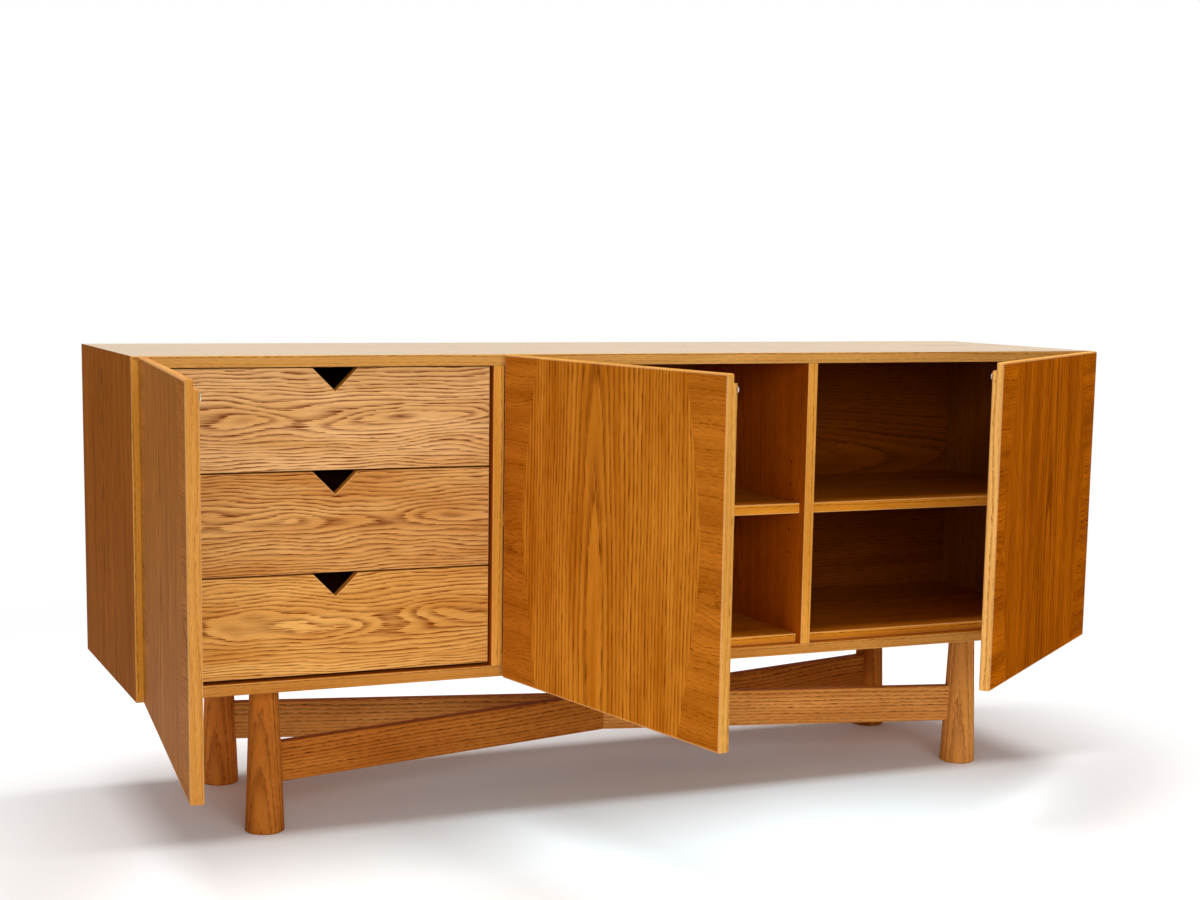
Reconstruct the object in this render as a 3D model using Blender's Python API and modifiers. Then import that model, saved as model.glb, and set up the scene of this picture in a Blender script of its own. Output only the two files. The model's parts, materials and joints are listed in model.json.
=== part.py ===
"""Storage cabinet: a low sideboard with three doors and three drawers on turned legs.

Metres, +Z up, front towards -Y. The doors stand open and the drawers are shut.
The origin is on the floor, in the middle of the open cabinet's outline.
Inside the script the cabinet is laid out from the middle of its front at floor level.
Each door is laid out from its hinge axis: x along the door, y from its face into the cabinet.
"""
import math

import bmesh
import bpy
from mathutils import Matrix, Vector

# Driving dimensions of the carcase

WIDTH = 1.830
DEPTH = 0.470
CARCASE_HEIGHT = 0.550
BOARD = 0.019
DIVIDER_SHIFT = 0.003
BACK_THICKNESS = 0.009
BACK_INSET = 0.009
BOARD_ARRIS = 0.001

# Shelves, the boards on the bottom panel, and the shelf pins

SHELF_THICKNESS = 0.019
SHELF_SETBACK = 0.016
SHELF_END_GAP = 0.0015
SHELF_ARRIS = 0.002
SHELF_RECESS_DEPTH = 0.0103
SHELF_RECESS_MARGIN = 0.001
BASE_BOARD_THICKNESS = 0.016
PIN_RADIUS = 0.0025
PIN_IN_HOLE = 0.0077
PIN_REACH = 0.010
PIN_HEIGHT = 0.265
PIN_SETBACK = 0.054
HOLE_PITCH = 0.042
HOLES_EACH_WAY = 2

# Base

LEG_HEIGHT = 0.250
LEG_TOP_RADIUS = 0.024
LEG_FOOT_RADIUS = 0.033
LEG_FOOT_ROUNDING = 0.003
LEG_FROM_SIDE = 0.224
LEG_FROM_FRONT = 0.069
RAIL_HEIGHT = 0.068
RAIL_THICKNESS = 0.022
RAIL_DROP = 0.100
RAIL_ARRIS = 0.002

# Doors and how far each stands open, in degrees

DOOR_THICKNESS = 0.019
DOOR_STANDOFF = 0.002
DOOR_REVEAL = 0.002
DOOR_ARRIS = 0.003
PULL_DEPTH = 0.008
PULL_HEIGHT = 0.014
BUMPER_RADIUS = 0.005
BUMPER_BELOW_TOP = 0.023
OPEN_LEFT = 95.3
OPEN_MIDDLE = 80.0
OPEN_RIGHT = 37.9

# Concealed hinges

HINGE_FROM_EDGE = 0.0095
HINGE_FROM_FACE = 0.0005
HINGE_FROM_END = 0.090
CUP_RADIUS = 0.0175
CUP_WALL = 0.0012
CUP_FLOOR = 0.0008
CUP_DEPTH = 0.013
CUP_FROM_EDGE = 0.0225
CUP_FLANGE_THICKNESS = 0.0007
CUP_FLANGE_HEIGHT = 0.054
CUP_FLANGE_TRIM = 0.0005
ARM_HEIGHT = 0.012
ARM_THICKNESS = 0.009
ARM_LENGTH = 0.058
ARM_LIFT = 0.0005
NOSE_THICKNESS = 0.0042
PLATE_HEIGHT = 0.050
PLATE_LENGTH = 0.032
PLATE_THICKNESS = 0.002
PLATE_SETBACK = 0.022

# Drawers and their runners

DRAWER_COUNT = 3
DRAWER_INSET = 0.006
DRAWER_TOP_GAP = 0.002
DRAWER_GAP = 0.003
DRAWER_FOOT_GAP = 0.006
DRAWER_SIDE_GAP = 0.005
FRONT_THICKNESS = 0.019
FRONT_ARRIS = 0.001
NOTCH_WIDTH = 0.076
NOTCH_DEPTH = 0.038
BOX_BACK_GAP = 0.012
BOX_WALL = 0.012
BOX_END_INSET = 0.002
BOX_BELOW_TOP = 0.011
BOX_ABOVE_FOOT = 0.008
BASE_THICKNESS = 0.006
BASE_RAISE = 0.013
BASE_GROOVE = 0.006
LINER_SPACE = 0.020
LINER_SETBACK = 0.025
RUNNER_SETBACK = 0.003
RUNNER_BACK_GAP = 0.024
RUNNER_METAL = 0.0015
RUNNER_FLANGE = 0.030
RUNNER_RAIL = 0.018
RUNNER_SIDE_GAP = 0.002
RUNNER_TRAY_GAP = 0.001

# Gap between pieces that touch, and the smoothness of turned pieces

CLEARANCE = 0.0003
TURN_STEPS = 40
PIN_STEPS = 12
ARC_STEPS = 10

# Places that follow from the dimensions

CARCASE_FLOOR = LEG_HEIGHT
CARCASE_TOP = LEG_HEIGHT + CARCASE_HEIGHT
INNER_FLOOR = CARCASE_FLOOR + BOARD
INNER_TOP = CARCASE_TOP - BOARD
INNER_SIDE = WIDTH / 2 - BOARD
INNER_BACK = DEPTH - BACK_INSET - BACK_THICKNESS
DOOR_JOINT = WIDTH / 6
DIVIDER = DOOR_JOINT - DIVIDER_SHIFT
DIVIDER_LEFT_FACE = DIVIDER - BOARD / 2
DIVIDER_RIGHT_FACE = DIVIDER + BOARD / 2
AXIS_BEHIND_FRONT = -(DOOR_STANDOFF + DOOR_THICKNESS - HINGE_FROM_FACE)
DOOR_INNER_FACE = DOOR_THICKNESS - HINGE_FROM_FACE
SIDE_DOOR_WIDTH = WIDTH / 2 - DOOR_JOINT - DOOR_REVEAL / 2
MIDDLE_DOOR_WIDTH = 2 * DOOR_JOINT - DOOR_REVEAL
PIN_ROW = CARCASE_FLOOR + PIN_HEIGHT
SHELF_BOTTOM = PIN_ROW + PIN_RADIUS + CLEARANCE - SHELF_RECESS_DEPTH
LEG_AXIS_X = WIDTH / 2 - LEG_FROM_SIDE
RAIL_TOP = CARCASE_FLOOR - RAIL_DROP
RAIL_BOTTOM = RAIL_TOP - RAIL_HEIGHT
LINER_FACE = -INNER_SIDE + LINER_SPACE + BOARD
DRAWER_LEFT = LINER_FACE + DRAWER_SIDE_GAP
DRAWER_RIGHT = -DIVIDER_RIGHT_FACE - DRAWER_SIDE_GAP

# For each door: side of its hinge (1 left, -1 right), hinge edge, width, opening, carrying face

DOORS = {
    "left": (1, -WIDTH / 2, SIDE_DOOR_WIDTH, OPEN_LEFT, -INNER_SIDE),
    "middle": (1, -DOOR_JOINT + DOOR_REVEAL / 2, MIDDLE_DOOR_WIDTH, OPEN_MIDDLE,
               -DIVIDER_LEFT_FACE),
    "right": (-1, WIDTH / 2, SIDE_DOOR_WIDTH, OPEN_RIGHT, INNER_SIDE),
}


# Scene, collections and materials

for old in list(bpy.data.objects):
    bpy.data.objects.remove(old)
PARTS = bpy.data.collections.new("storage_cabinet")
CUTTERS = bpy.data.collections.new("storage_cabinet_cutters")
bpy.context.scene.collection.children.link(PARTS)
bpy.context.scene.collection.children.link(CUTTERS)


def principled(name, colour, roughness, metallic=0.0):
    """A plain material with one colour."""
    made = bpy.data.materials.new(name)
    made.use_nodes = True
    shader = made.node_tree.nodes["Principled BSDF"]
    shader.inputs["Base Color"].default_value = (*colour, 1.0)
    shader.inputs["Roughness"].default_value = roughness
    shader.inputs["Metallic"].default_value = metallic
    made.diffuse_color = (*colour, 1.0)
    return made


CARCASE_OAK = principled("carcase_oak", (0.42, 0.18, 0.045), 0.45)
DOOR_OAK = principled("door_oak", (0.47, 0.20, 0.05), 0.42)
FRONT_OAK = principled("drawer_front_oak", (0.62, 0.33, 0.11), 0.45)
SHELF_OAK = principled("shelf_oak", (0.52, 0.25, 0.07), 0.45)
BACK_OAK = principled("back_oak", (0.30, 0.12, 0.03), 0.5)
BOX_OAK = principled("drawer_box_oak", (0.55, 0.29, 0.10), 0.5)
BASE_OAK = principled("base_oak", (0.30, 0.12, 0.035), 0.5)
STEEL = principled("hinge_steel", (0.62, 0.62, 0.62), 0.3, 1.0)
ZINC = principled("runner_zinc", (0.50, 0.51, 0.52), 0.4, 1.0)
CLEAR_PLASTIC = principled("clear_plastic", (0.80, 0.80, 0.78), 0.2)


# Shapes


def place(name, mesh, location, parent, material=None):
    """A named part under its parent, or a cutter when it has no material."""
    piece = bpy.data.objects.new(name, mesh)
    piece.location = location
    piece.parent = parent
    if material:
        PARTS.objects.link(piece)
        mesh.materials.append(material)
    else:
        CUTTERS.objects.link(piece)
        piece.hide_render = True
        piece.display_type = "WIRE"
    return piece


def empty(name, location, parent=None, turn=0.0):
    """A guide that carries the pieces of one body."""
    guide = bpy.data.objects.new(name, None)
    guide.location = location
    guide.rotation_euler.z = math.radians(turn)
    guide.parent = parent
    PARTS.objects.link(guide)
    return guide


def box(name, low, high, parent, material=None):
    """A rectangular board between two corners."""
    low = Vector(low)
    high = Vector(high)
    centre = (low + high) / 2
    mesh = bpy.data.meshes.new(name)
    shape = bmesh.new()
    bmesh.ops.create_cube(shape, size=1.0)
    bmesh.ops.scale(shape, vec=[abs(length) for length in high - low], verts=shape.verts)
    shape.to_mesh(mesh)
    shape.free()
    return place(name, mesh, centre, parent, material)


def prism(name, points, along, low, high, parent, material=None):
    """A flat outline with straight sides, extruded along Y or Z."""
    curve = bpy.data.curves.new(name, "CURVE")
    curve.dimensions = "2D"
    curve.fill_mode = "BOTH"
    curve.extrude = (high - low) / 2
    line = curve.splines.new("POLY")
    line.points.add(len(points) - 1)
    for point, (across, up) in zip(line.points, points):
        point.co = (across, up, 0.0, 1.0)
    line.use_cyclic_u = True
    drawn = bpy.data.objects.new(name + "_outline", curve)
    CUTTERS.objects.link(drawn)
    bpy.context.view_layer.update()
    evaluated = drawn.evaluated_get(bpy.context.evaluated_depsgraph_get())
    mesh = bpy.data.meshes.new_from_object(evaluated)
    mesh.name = name
    bpy.data.objects.remove(drawn)
    shape = bmesh.new()
    shape.from_mesh(mesh)
    bmesh.ops.remove_doubles(shape, verts=shape.verts, dist=1e-6)
    if along == "Y":
        bmesh.ops.rotate(shape, matrix=Matrix.Rotation(math.pi / 2, 3, "X"), verts=shape.verts)
    bmesh.ops.recalc_face_normals(shape, faces=shape.faces)
    shape.to_mesh(mesh)
    shape.free()
    mesh.materials.clear()
    middle = (low + high) / 2
    location = (0.0, middle, 0.0) if along == "Y" else (0.0, 0.0, middle)
    return place(name, mesh, location, parent, material)


def turned(name, profile, location, parent, material=None):
    """A profile of radius and height, listed from its top down, turned about Z."""
    mesh = bpy.data.meshes.new(name)
    corners = [(radius, 0.0, height) for radius, height in profile]
    mesh.from_pydata(corners, [(i, i + 1) for i in range(len(corners) - 1)], [])
    piece = place(name, mesh, location, parent, material)
    lathe = piece.modifiers.new("lathe", "SCREW")
    lathe.axis = "Z"
    lathe.steps = TURN_STEPS
    lathe.render_steps = TURN_STEPS
    lathe.use_merge_vertices = True
    lathe.merge_threshold = 1e-5
    return piece


def pegs(name, places, radius, axis, parent, material=None):
    """Round pegs from one point along an axis, as (start, end) pairs in one mesh."""
    mesh = bpy.data.meshes.new(name)
    shape = bmesh.new()
    steps = PIN_STEPS if radius < CUP_RADIUS / 2 else TURN_STEPS
    quarter = {"X": Matrix.Rotation(math.pi / 2, 4, "Y"), "Y": Matrix.Rotation(math.pi / 2, 4, "X")}
    for start, end in places:
        start = Vector(start)
        end = Vector(end)
        stand = Matrix.Translation((start + end) / 2) @ quarter[axis]
        bmesh.ops.create_cone(shape, cap_ends=True, segments=steps, radius1=radius,
                              radius2=radius, depth=(end - start).length, matrix=stand)
    shape.to_mesh(mesh)
    shape.free()
    return place(name, mesh, (0.0, 0.0, 0.0), parent, material)


def ease(piece, radius, along=None, segments=2):
    """Round the square outer arrises, or only those that run along one axis (0, 1 or 2)."""
    shape = bmesh.new()
    shape.from_mesh(piece.data)
    weight = shape.edges.layers.float.new("bevel_weight_edge")
    for edge in shape.edges:
        run = (edge.verts[1].co - edge.verts[0].co).normalized()
        is_square = abs(edge.calc_face_angle(0.0) - math.pi / 2) < math.radians(1.0)
        if is_square and edge.is_convex and (along is None or abs(run[along]) > 0.99):
            edge[weight] = 1.0
    shape.to_mesh(piece.data)
    shape.free()
    arris = piece.modifiers.new("arrises", "BEVEL")
    arris.limit_method = "WEIGHT"
    arris.width = radius
    arris.segments = segments
    return piece


def combine(piece, tool, operation):
    """Cut a piece with a tool, or join the tool to it."""
    step = piece.modifiers.new(tool.name, "BOOLEAN")
    step.operation = operation
    step.object = tool
    return piece


def arc(radius, start, end):
    """Points on a circle about the hinge axis, between two angles in radians."""
    angles = [start + (end - start) * i / ARC_STEPS for i in range(ARC_STEPS + 1)]
    return [(radius * math.cos(angle), radius * math.sin(angle)) for angle in angles]


# The body frame: the origin stands under the middle of the cabinet with its doors open


def door_outline(name):
    """The plan corners of an open door."""
    side, edge, width, opening, _ = DOORS[name]
    turn = Matrix.Rotation(math.radians(-side * opening), 2)
    axis = Vector((edge + side * HINGE_FROM_EDGE, AXIS_BEHIND_FRONT))
    along = (-HINGE_FROM_EDGE, width - HINGE_FROM_EDGE)
    through = (-HINGE_FROM_FACE, DOOR_INNER_FACE)
    return [axis + turn @ Vector((side * x, y)) for x in along for y in through]


corners = [Vector((-WIDTH / 2, DEPTH)), Vector((WIDTH / 2, DEPTH))]
for door_name in DOORS:
    corners += door_outline(door_name)
middle_x = (min(c.x for c in corners) + max(c.x for c in corners)) / 2
middle_y = (min(c.y for c in corners) + max(c.y for c in corners)) / 2
cabinet = empty("cabinet", (-middle_x, -middle_y, 0.0))


# Carcase: four mitred boards, two dividers, a back and the drawers' liner


def mitred_board(name, inner, outer, half_length, upright):
    """A board whose ends are cut at 45 degrees, from its inner to its outer face."""
    trim = CLEARANCE / math.sqrt(2)
    long_half = half_length - trim
    short_half = long_half - abs(outer - inner)
    points = [(-long_half, outer), (long_half, outer), (short_half, inner), (-short_half, inner)]
    if upright:
        middle = (CARCASE_FLOOR + CARCASE_TOP) / 2
        points = [(across, middle + up) for up, across in points]
    return ease(prism(name, points, "Y", 0.0, DEPTH, cabinet, CARCASE_OAK),
                BOARD_ARRIS, along=2 if upright else 0)


def upright_board(name, centre, setback, material):
    """A board between the bottom panel and the top panel."""
    return ease(box(name, (centre - BOARD / 2, setback, INNER_FLOOR + CLEARANCE),
                    (centre + BOARD / 2, INNER_BACK - CLEARANCE, INNER_TOP - CLEARANCE),
                    cabinet, material), BOARD_ARRIS, along=2)


top_panel = mitred_board("top_panel", INNER_TOP, CARCASE_TOP, WIDTH / 2, False)
bottom_panel = mitred_board("bottom_panel", INNER_FLOOR, CARCASE_FLOOR, WIDTH / 2, False)
side_left = mitred_board("side_panel_left", -INNER_SIDE, -WIDTH / 2, CARCASE_HEIGHT / 2, True)
side_right = mitred_board("side_panel_right", INNER_SIDE, WIDTH / 2, CARCASE_HEIGHT / 2, True)
divider_left = upright_board("divider_left", -DIVIDER, 0.0, SHELF_OAK)
divider_right = upright_board("divider_right", DIVIDER, 0.0, SHELF_OAK)
upright_board("drawer_liner", LINER_FACE - BOARD / 2, LINER_SETBACK, SHELF_OAK)
box("back_panel", (-INNER_SIDE + CLEARANCE, INNER_BACK, INNER_FLOOR + CLEARANCE),
    (INNER_SIDE - CLEARANCE, INNER_BACK + BACK_THICKNESS, INNER_TOP - CLEARANCE),
    cabinet, BACK_OAK)


# Shelves on pins, and the boards that lie on the bottom panel

PIN_DEPTHS = {"front": PIN_SETBACK, "back": INNER_BACK - PIN_SETBACK}
HOLE_HEIGHTS = [PIN_ROW + HOLE_PITCH * i for i in range(-HOLES_EACH_WAY, HOLES_EACH_WAY + 1)]


def pin_holes(board, face, inwards):
    """Drill the two rows of pin holes in a board's face; inwards is 1 or -1 along X."""
    start = face + inwards * CLEARANCE
    end = face - inwards * (PIN_IN_HOLE + CLEARANCE)
    places = [((start, y, z), (end, y, z)) for y in PIN_DEPTHS.values() for z in HOLE_HEIGHTS]
    drill = pegs(f"drill_{board.name}_{'left' if inwards < 0 else 'right'}", places,
                 PIN_RADIUS + CLEARANCE, "X", cabinet)
    combine(board, drill, "DIFFERENCE")


def shelf_bay(name, left, right):
    """A bay with a shelf on four recessed pins and a board on its floor."""
    ends = (left + SHELF_END_GAP, right - SHELF_END_GAP)
    shelf = ease(box(f"shelf_{name}", (ends[0], SHELF_SETBACK, SHELF_BOTTOM),
                     (ends[1], INNER_BACK - CLEARANCE, SHELF_BOTTOM + SHELF_THICKNESS),
                     cabinet, SHELF_OAK), SHELF_ARRIS, along=0)
    ease(box(f"base_board_{name}", (ends[0], SHELF_SETBACK, INNER_FLOOR + CLEARANCE),
             (ends[1], INNER_BACK - CLEARANCE, INNER_FLOOR + CLEARANCE + BASE_BOARD_THICKNESS),
             cabinet, SHELF_OAK), SHELF_ARRIS, along=0)
    half = PIN_RADIUS + SHELF_RECESS_MARGIN
    for end, face, inwards in (("left", left, 1), ("right", right, -1)):
        for depth, y in PIN_DEPTHS.items():
            tip = face + inwards * PIN_REACH
            pegs(f"shelf_pin_{name}_{depth}_{end}",
                 [((face - inwards * PIN_IN_HOLE, y, PIN_ROW), (tip, y, PIN_ROW))],
                 PIN_RADIUS, "X", cabinet, STEEL)
            recess = box(f"recess_{name}_{depth}_{end}",
                         (face, y - half, SHELF_BOTTOM - SHELF_RECESS_MARGIN),
                         (tip + inwards * SHELF_RECESS_MARGIN, y + half,
                          SHELF_BOTTOM + SHELF_RECESS_DEPTH), cabinet)
            combine(shelf, recess, "DIFFERENCE")


pin_holes(divider_left, -DIVIDER_LEFT_FACE, 1)
pin_holes(divider_right, DIVIDER_LEFT_FACE, -1)
pin_holes(divider_right, DIVIDER_RIGHT_FACE, 1)
pin_holes(side_right, INNER_SIDE, -1)
shelf_bay("middle", -DIVIDER_LEFT_FACE, DIVIDER_LEFT_FACE)
shelf_bay("right", DIVIDER_RIGHT_FACE, INNER_SIDE)


# Base: four turned legs, and two rails that cross with a half lap

LEG_PLACES = {
    "front_left": (-LEG_AXIS_X, LEG_FROM_FRONT),
    "front_right": (LEG_AXIS_X, LEG_FROM_FRONT),
    "back_left": (-LEG_AXIS_X, DEPTH - LEG_FROM_FRONT),
    "back_right": (LEG_AXIS_X, DEPTH - LEG_FROM_FRONT),
}


def leg_profile(offset=0.0):
    """The leg's side, from the middle of its top to the middle of its foot."""
    top = CARCASE_FLOOR - CLEARANCE + offset
    slope = (LEG_FOOT_RADIUS - LEG_TOP_RADIUS) / (LEG_HEIGHT - LEG_FOOT_ROUNDING)
    widest = LEG_FOOT_RADIUS + offset
    turn = [math.radians(90.0 * i / 4) for i in range(5)]
    foot = [(widest - LEG_FOOT_ROUNDING * (1 - math.cos(a)), LEG_FOOT_ROUNDING * (1 - math.sin(a)))
            for a in turn]
    return [(0.0, top), (LEG_TOP_RADIUS + offset + slope * CLEARANCE, top), *foot, (0.0, 0.0)]


def cross_rail(name, start, end):
    """A flat rail between two legs, with its ends hollowed to fit round them."""
    run = Vector(LEG_PLACES[end]) - Vector(LEG_PLACES[start])
    half = run.length / 2
    guide = empty(f"{name}_line", (0.0, DEPTH / 2, 0.0), cabinet,
                  math.degrees(math.atan2(run.y, run.x)))
    rail = ease(box(name, (-half, -RAIL_THICKNESS / 2, RAIL_BOTTOM),
                    (half, RAIL_THICKNESS / 2, RAIL_TOP), guide, BASE_OAK), RAIL_ARRIS, along=0)
    for leg in (start, end):
        combine(rail, leg_tools[leg], "DIFFERENCE")
    return rail, guide, half


def half_lap(rail, other_guide, half, low, high):
    """Cut the crossing rail's half of the lap out of a rail."""
    reach = RAIL_THICKNESS / 2 + CLEARANCE
    tool = box(f"lap_{rail.name}", (-half, -reach, low), (half, reach, high), other_guide)
    combine(rail, tool, "DIFFERENCE")


leg_tools = {}
for leg_name, (leg_x, leg_y) in LEG_PLACES.items():
    leg = turned(f"leg_{leg_name}", leg_profile(), (leg_x, leg_y, 0.0), cabinet, BASE_OAK)
    leg_tools[leg_name] = turned(f"cope_{leg_name}", leg_profile(CLEARANCE),
                                 (leg_x, leg_y, 0.0), cabinet)

rail_one, line_one, half_one = cross_rail("rail_front_left", "front_left", "back_right")
rail_two, line_two, half_two = cross_rail("rail_front_right", "back_left", "front_right")
lap_height = (RAIL_TOP + RAIL_BOTTOM) / 2
half_lap(rail_one, line_two, half_two, lap_height - CLEARANCE / 2, RAIL_TOP + RAIL_ARRIS)
half_lap(rail_two, line_one, half_one, RAIL_BOTTOM - RAIL_ARRIS, lap_height + CLEARANCE / 2)


# Concealed hinges: a cup let into the door, and an arm whose nose turns inside the cup

CUP_FLANGE_TOP = DOOR_INNER_FACE + CLEARANCE + CUP_FLANGE_THICKNESS
CUP_CENTRE = CUP_FROM_EDGE - HINGE_FROM_EDGE
CUP_BOTTOM = DOOR_INNER_FACE - CUP_DEPTH
CARCASE_FRONT = -AXIS_BEHIND_FRONT


def swept_radius():
    """How far from the axis the door's rounded edge and the cup's flange reach."""
    rounding = Vector((HINGE_FROM_EDGE - DOOR_ARRIS, DOOR_INNER_FACE - DOOR_ARRIS))
    flange = Vector((CUP_CENTRE - CUP_RADIUS, CUP_FLANGE_TOP))
    return max(rounding.length + DOOR_ARRIS, flange.length)


def hinge_cup(name, side, height, parent, door):
    """The cup with its flange, and its bore in the door."""
    centre = side * CUP_CENTRE
    half = CUP_RADIUS - CUP_FLANGE_TRIM
    reach = CUP_FLANGE_HEIGHT / 2
    rim = CUP_FLANGE_TOP - CUP_FLANGE_THICKNESS / 2
    cup = box(name, (centre - half, DOOR_INNER_FACE + CLEARANCE, height - reach),
              (centre + half, CUP_FLANGE_TOP, height + reach), parent, STEEL)
    barrel = pegs(f"{name}_barrel", [((centre, CUP_BOTTOM, height), (centre, rim, height))],
                  CUP_RADIUS, "Y", parent)
    hollow = pegs(f"{name}_hollow", [((centre, CUP_BOTTOM + CUP_FLOOR, height),
                                      (centre, CARCASE_FRONT, height))],
                  CUP_RADIUS - CUP_WALL, "Y", parent)
    bore = pegs(f"{name}_bore", [((centre, CUP_BOTTOM - CLEARANCE, height),
                                  (centre, CARCASE_FRONT, height))],
                CUP_RADIUS + CLEARANCE, "Y", parent)
    combine(cup, barrel, "UNION")
    combine(cup, hollow, "DIFFERENCE")
    combine(door, bore, "DIFFERENCE")


def hinge_arm(name, side, support, height, parent):
    """The mounting plate and the arm, laid out from the hinge axis; support is its board's face."""
    inner = swept_radius() + CLEARANCE
    outer = inner + NOSE_THICKNESS
    tip = math.asin((CUP_BOTTOM + CUP_FLOOR + CLEARANCE) / inner)
    heel = math.acos((support + 2 * CLEARANCE) / inner)
    flat = support + CLEARANCE + ARM_LIFT
    back = CARCASE_FRONT + ARM_LENGTH
    knee = CARCASE_FRONT + ARM_THICKNESS
    outline = arc(inner, tip, heel)
    outline += [(flat, CARCASE_FRONT + NOSE_THICKNESS), (flat, back), (flat + ARM_THICKNESS, back),
                (flat + ARM_THICKNESS, knee)]
    outline += arc(outer, math.asin(CARCASE_FRONT / outer), tip)
    arm = prism(name, [(side * x, y) for x, y in outline], "Z",
                height - ARM_HEIGHT / 2, height + ARM_HEIGHT / 2, parent, STEEL)
    plate_low = (side * (support + CLEARANCE), CARCASE_FRONT + PLATE_SETBACK,
                 height - PLATE_HEIGHT / 2)
    plate_high = (side * (support + CLEARANCE + PLATE_THICKNESS),
                  CARCASE_FRONT + PLATE_SETBACK + PLATE_LENGTH, height + PLATE_HEIGHT / 2)
    combine(arm, box(f"{name}_plate", plate_low, plate_high, parent), "UNION")


# Doors, each with a finger pull cut along the top of its inner face


def make_door(name):
    """One door with its hinges and its bumper, swung open about its hinge axis."""
    side, edge, width, opening, carrier = DOORS[name]
    axis = edge + side * HINGE_FROM_EDGE
    place_of_axis = (axis, AXIS_BEHIND_FRONT, CARCASE_FLOOR)
    fixed = empty(f"hinge_line_{name}", place_of_axis, cabinet)
    swing = empty(f"door_{name}_axis", place_of_axis, cabinet, -side * opening)
    free_edge = width - HINGE_FROM_EDGE
    door = box(f"door_{name}", (-side * HINGE_FROM_EDGE, -HINGE_FROM_FACE, 0.0),
               (side * free_edge, DOOR_INNER_FACE, CARCASE_HEIGHT), swing, DOOR_OAK)
    ease(door, DOOR_ARRIS, segments=3)
    pull = box(f"pull_{name}",
               (-side * (HINGE_FROM_EDGE + DOOR_ARRIS), DOOR_INNER_FACE - PULL_DEPTH,
                CARCASE_HEIGHT - PULL_HEIGHT),
               (side * (free_edge + DOOR_ARRIS), DOOR_INNER_FACE + DOOR_ARRIS,
                CARCASE_HEIGHT + DOOR_ARRIS), swing)
    combine(door, pull, "DIFFERENCE")
    for level, height in (("lower", HINGE_FROM_END), ("upper", CARCASE_HEIGHT - HINGE_FROM_END)):
        hinge_cup(f"hinge_cup_{name}_{level}", side, height, swing, door)
        hinge_arm(f"hinge_arm_{name}_{level}", side, side * (carrier - axis), height, fixed)
    bumper_x = side * (free_edge - BUMPER_RADIUS)
    bumper_z = CARCASE_HEIGHT - BUMPER_BELOW_TOP
    pegs(f"bumper_{name}", [((bumper_x, DOOR_INNER_FACE + CLEARANCE, bumper_z),
                             (bumper_x, CARCASE_FRONT - CLEARANCE, bumper_z))],
         BUMPER_RADIUS, "Y", swing, CLEAR_PLASTIC)


for door_name in DOORS:
    make_door(door_name)


# Drawers: a notched front, a box with its base in grooves, and a runner under each side


def runner(name, face, inwards, tray, rail_top, front):
    """A steel runner on a board's face: a flange, a tray and a rail under the drawer's base."""
    gap = DRAWER_SIDE_GAP + BOX_END_INSET
    rail_start = gap + BOX_WALL + RUNNER_SIDE_GAP
    rail_end = rail_start + RUNNER_RAIL
    outline = [(CLEARANCE, tray), (rail_end, tray), (rail_end, rail_top), (rail_start, rail_top),
               (rail_start, tray + RUNNER_METAL), (CLEARANCE + RUNNER_METAL, tray + RUNNER_METAL),
               (CLEARANCE + RUNNER_METAL, tray + RUNNER_FLANGE), (CLEARANCE, tray + RUNNER_FLANGE)]
    prism(name, [(face + inwards * across, up) for across, up in outline], "Y",
          front, INNER_BACK - RUNNER_BACK_GAP, cabinet, ZINC)


def make_drawer(number, floor, height):
    """One drawer, shut; number 1 is the top drawer and floor is its front's lower edge."""
    name = f"drawer_{number}"
    slide = empty(f"{name}_slide", (0.0, DRAWER_INSET, 0.0), cabinet)
    centre = (DRAWER_LEFT + DRAWER_RIGHT) / 2
    top = floor + height
    half = NOTCH_WIDTH / 2
    outline = [(DRAWER_LEFT, floor), (DRAWER_RIGHT, floor), (DRAWER_RIGHT, top), (centre + half, top),
               (centre, top - NOTCH_DEPTH), (centre - half, top), (DRAWER_LEFT, top)]
    front = ease(prism(f"{name}_front", outline, "Y", 0.0, FRONT_THICKNESS, slide, FRONT_OAK),
                 FRONT_ARRIS)
    left = DRAWER_LEFT + BOX_END_INSET
    right = DRAWER_RIGHT - BOX_END_INSET
    start = FRONT_THICKNESS + CLEARANCE
    end = INNER_BACK - BOX_BACK_GAP - DRAWER_INSET
    foot = floor + BOX_ABOVE_FOOT
    inner_left = left + BOX_WALL
    inner_right = right - BOX_WALL
    plan = [(left, start), (left, end), (right, end), (right, start), (inner_right, start),
            (inner_right, end - BOX_WALL), (inner_left, end - BOX_WALL), (inner_left, start)]
    body = prism(f"{name}_box", plan, "Z", foot, top - BOX_BELOW_TOP, slide, BOX_OAK)
    base_low = foot + BASE_RAISE
    base_high = base_low + BASE_THICKNESS
    groove_left = inner_left - BASE_GROOVE
    groove_right = inner_right + BASE_GROOVE
    groove_front = FRONT_THICKNESS - BASE_GROOVE
    box(f"{name}_base", (groove_left + CLEARANCE, groove_front + CLEARANCE, base_low),
        (groove_right - CLEARANCE, end, base_high), slide, BOX_OAK)
    groove = box(f"groove_{name}", (groove_left, groove_front, base_low - CLEARANCE),
                 (groove_right, end + BASE_GROOVE, base_high + CLEARANCE), slide)
    under = box(f"under_{name}", (inner_left, end - 2 * BOX_WALL, foot - CLEARANCE),
                (inner_right, end + BASE_GROOVE, base_low), slide)
    combine(front, groove, "DIFFERENCE")
    combine(body, groove, "DIFFERENCE")
    combine(body, under, "DIFFERENCE")
    tray = foot - RUNNER_TRAY_GAP - RUNNER_METAL
    run_front = DRAWER_INSET + FRONT_THICKNESS + RUNNER_SETBACK
    runner(f"runner_{number}_left", LINER_FACE, 1, tray, base_low - CLEARANCE, run_front)
    runner(f"runner_{number}_right", -DIVIDER_RIGHT_FACE, -1, tray, base_low - CLEARANCE, run_front)


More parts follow.
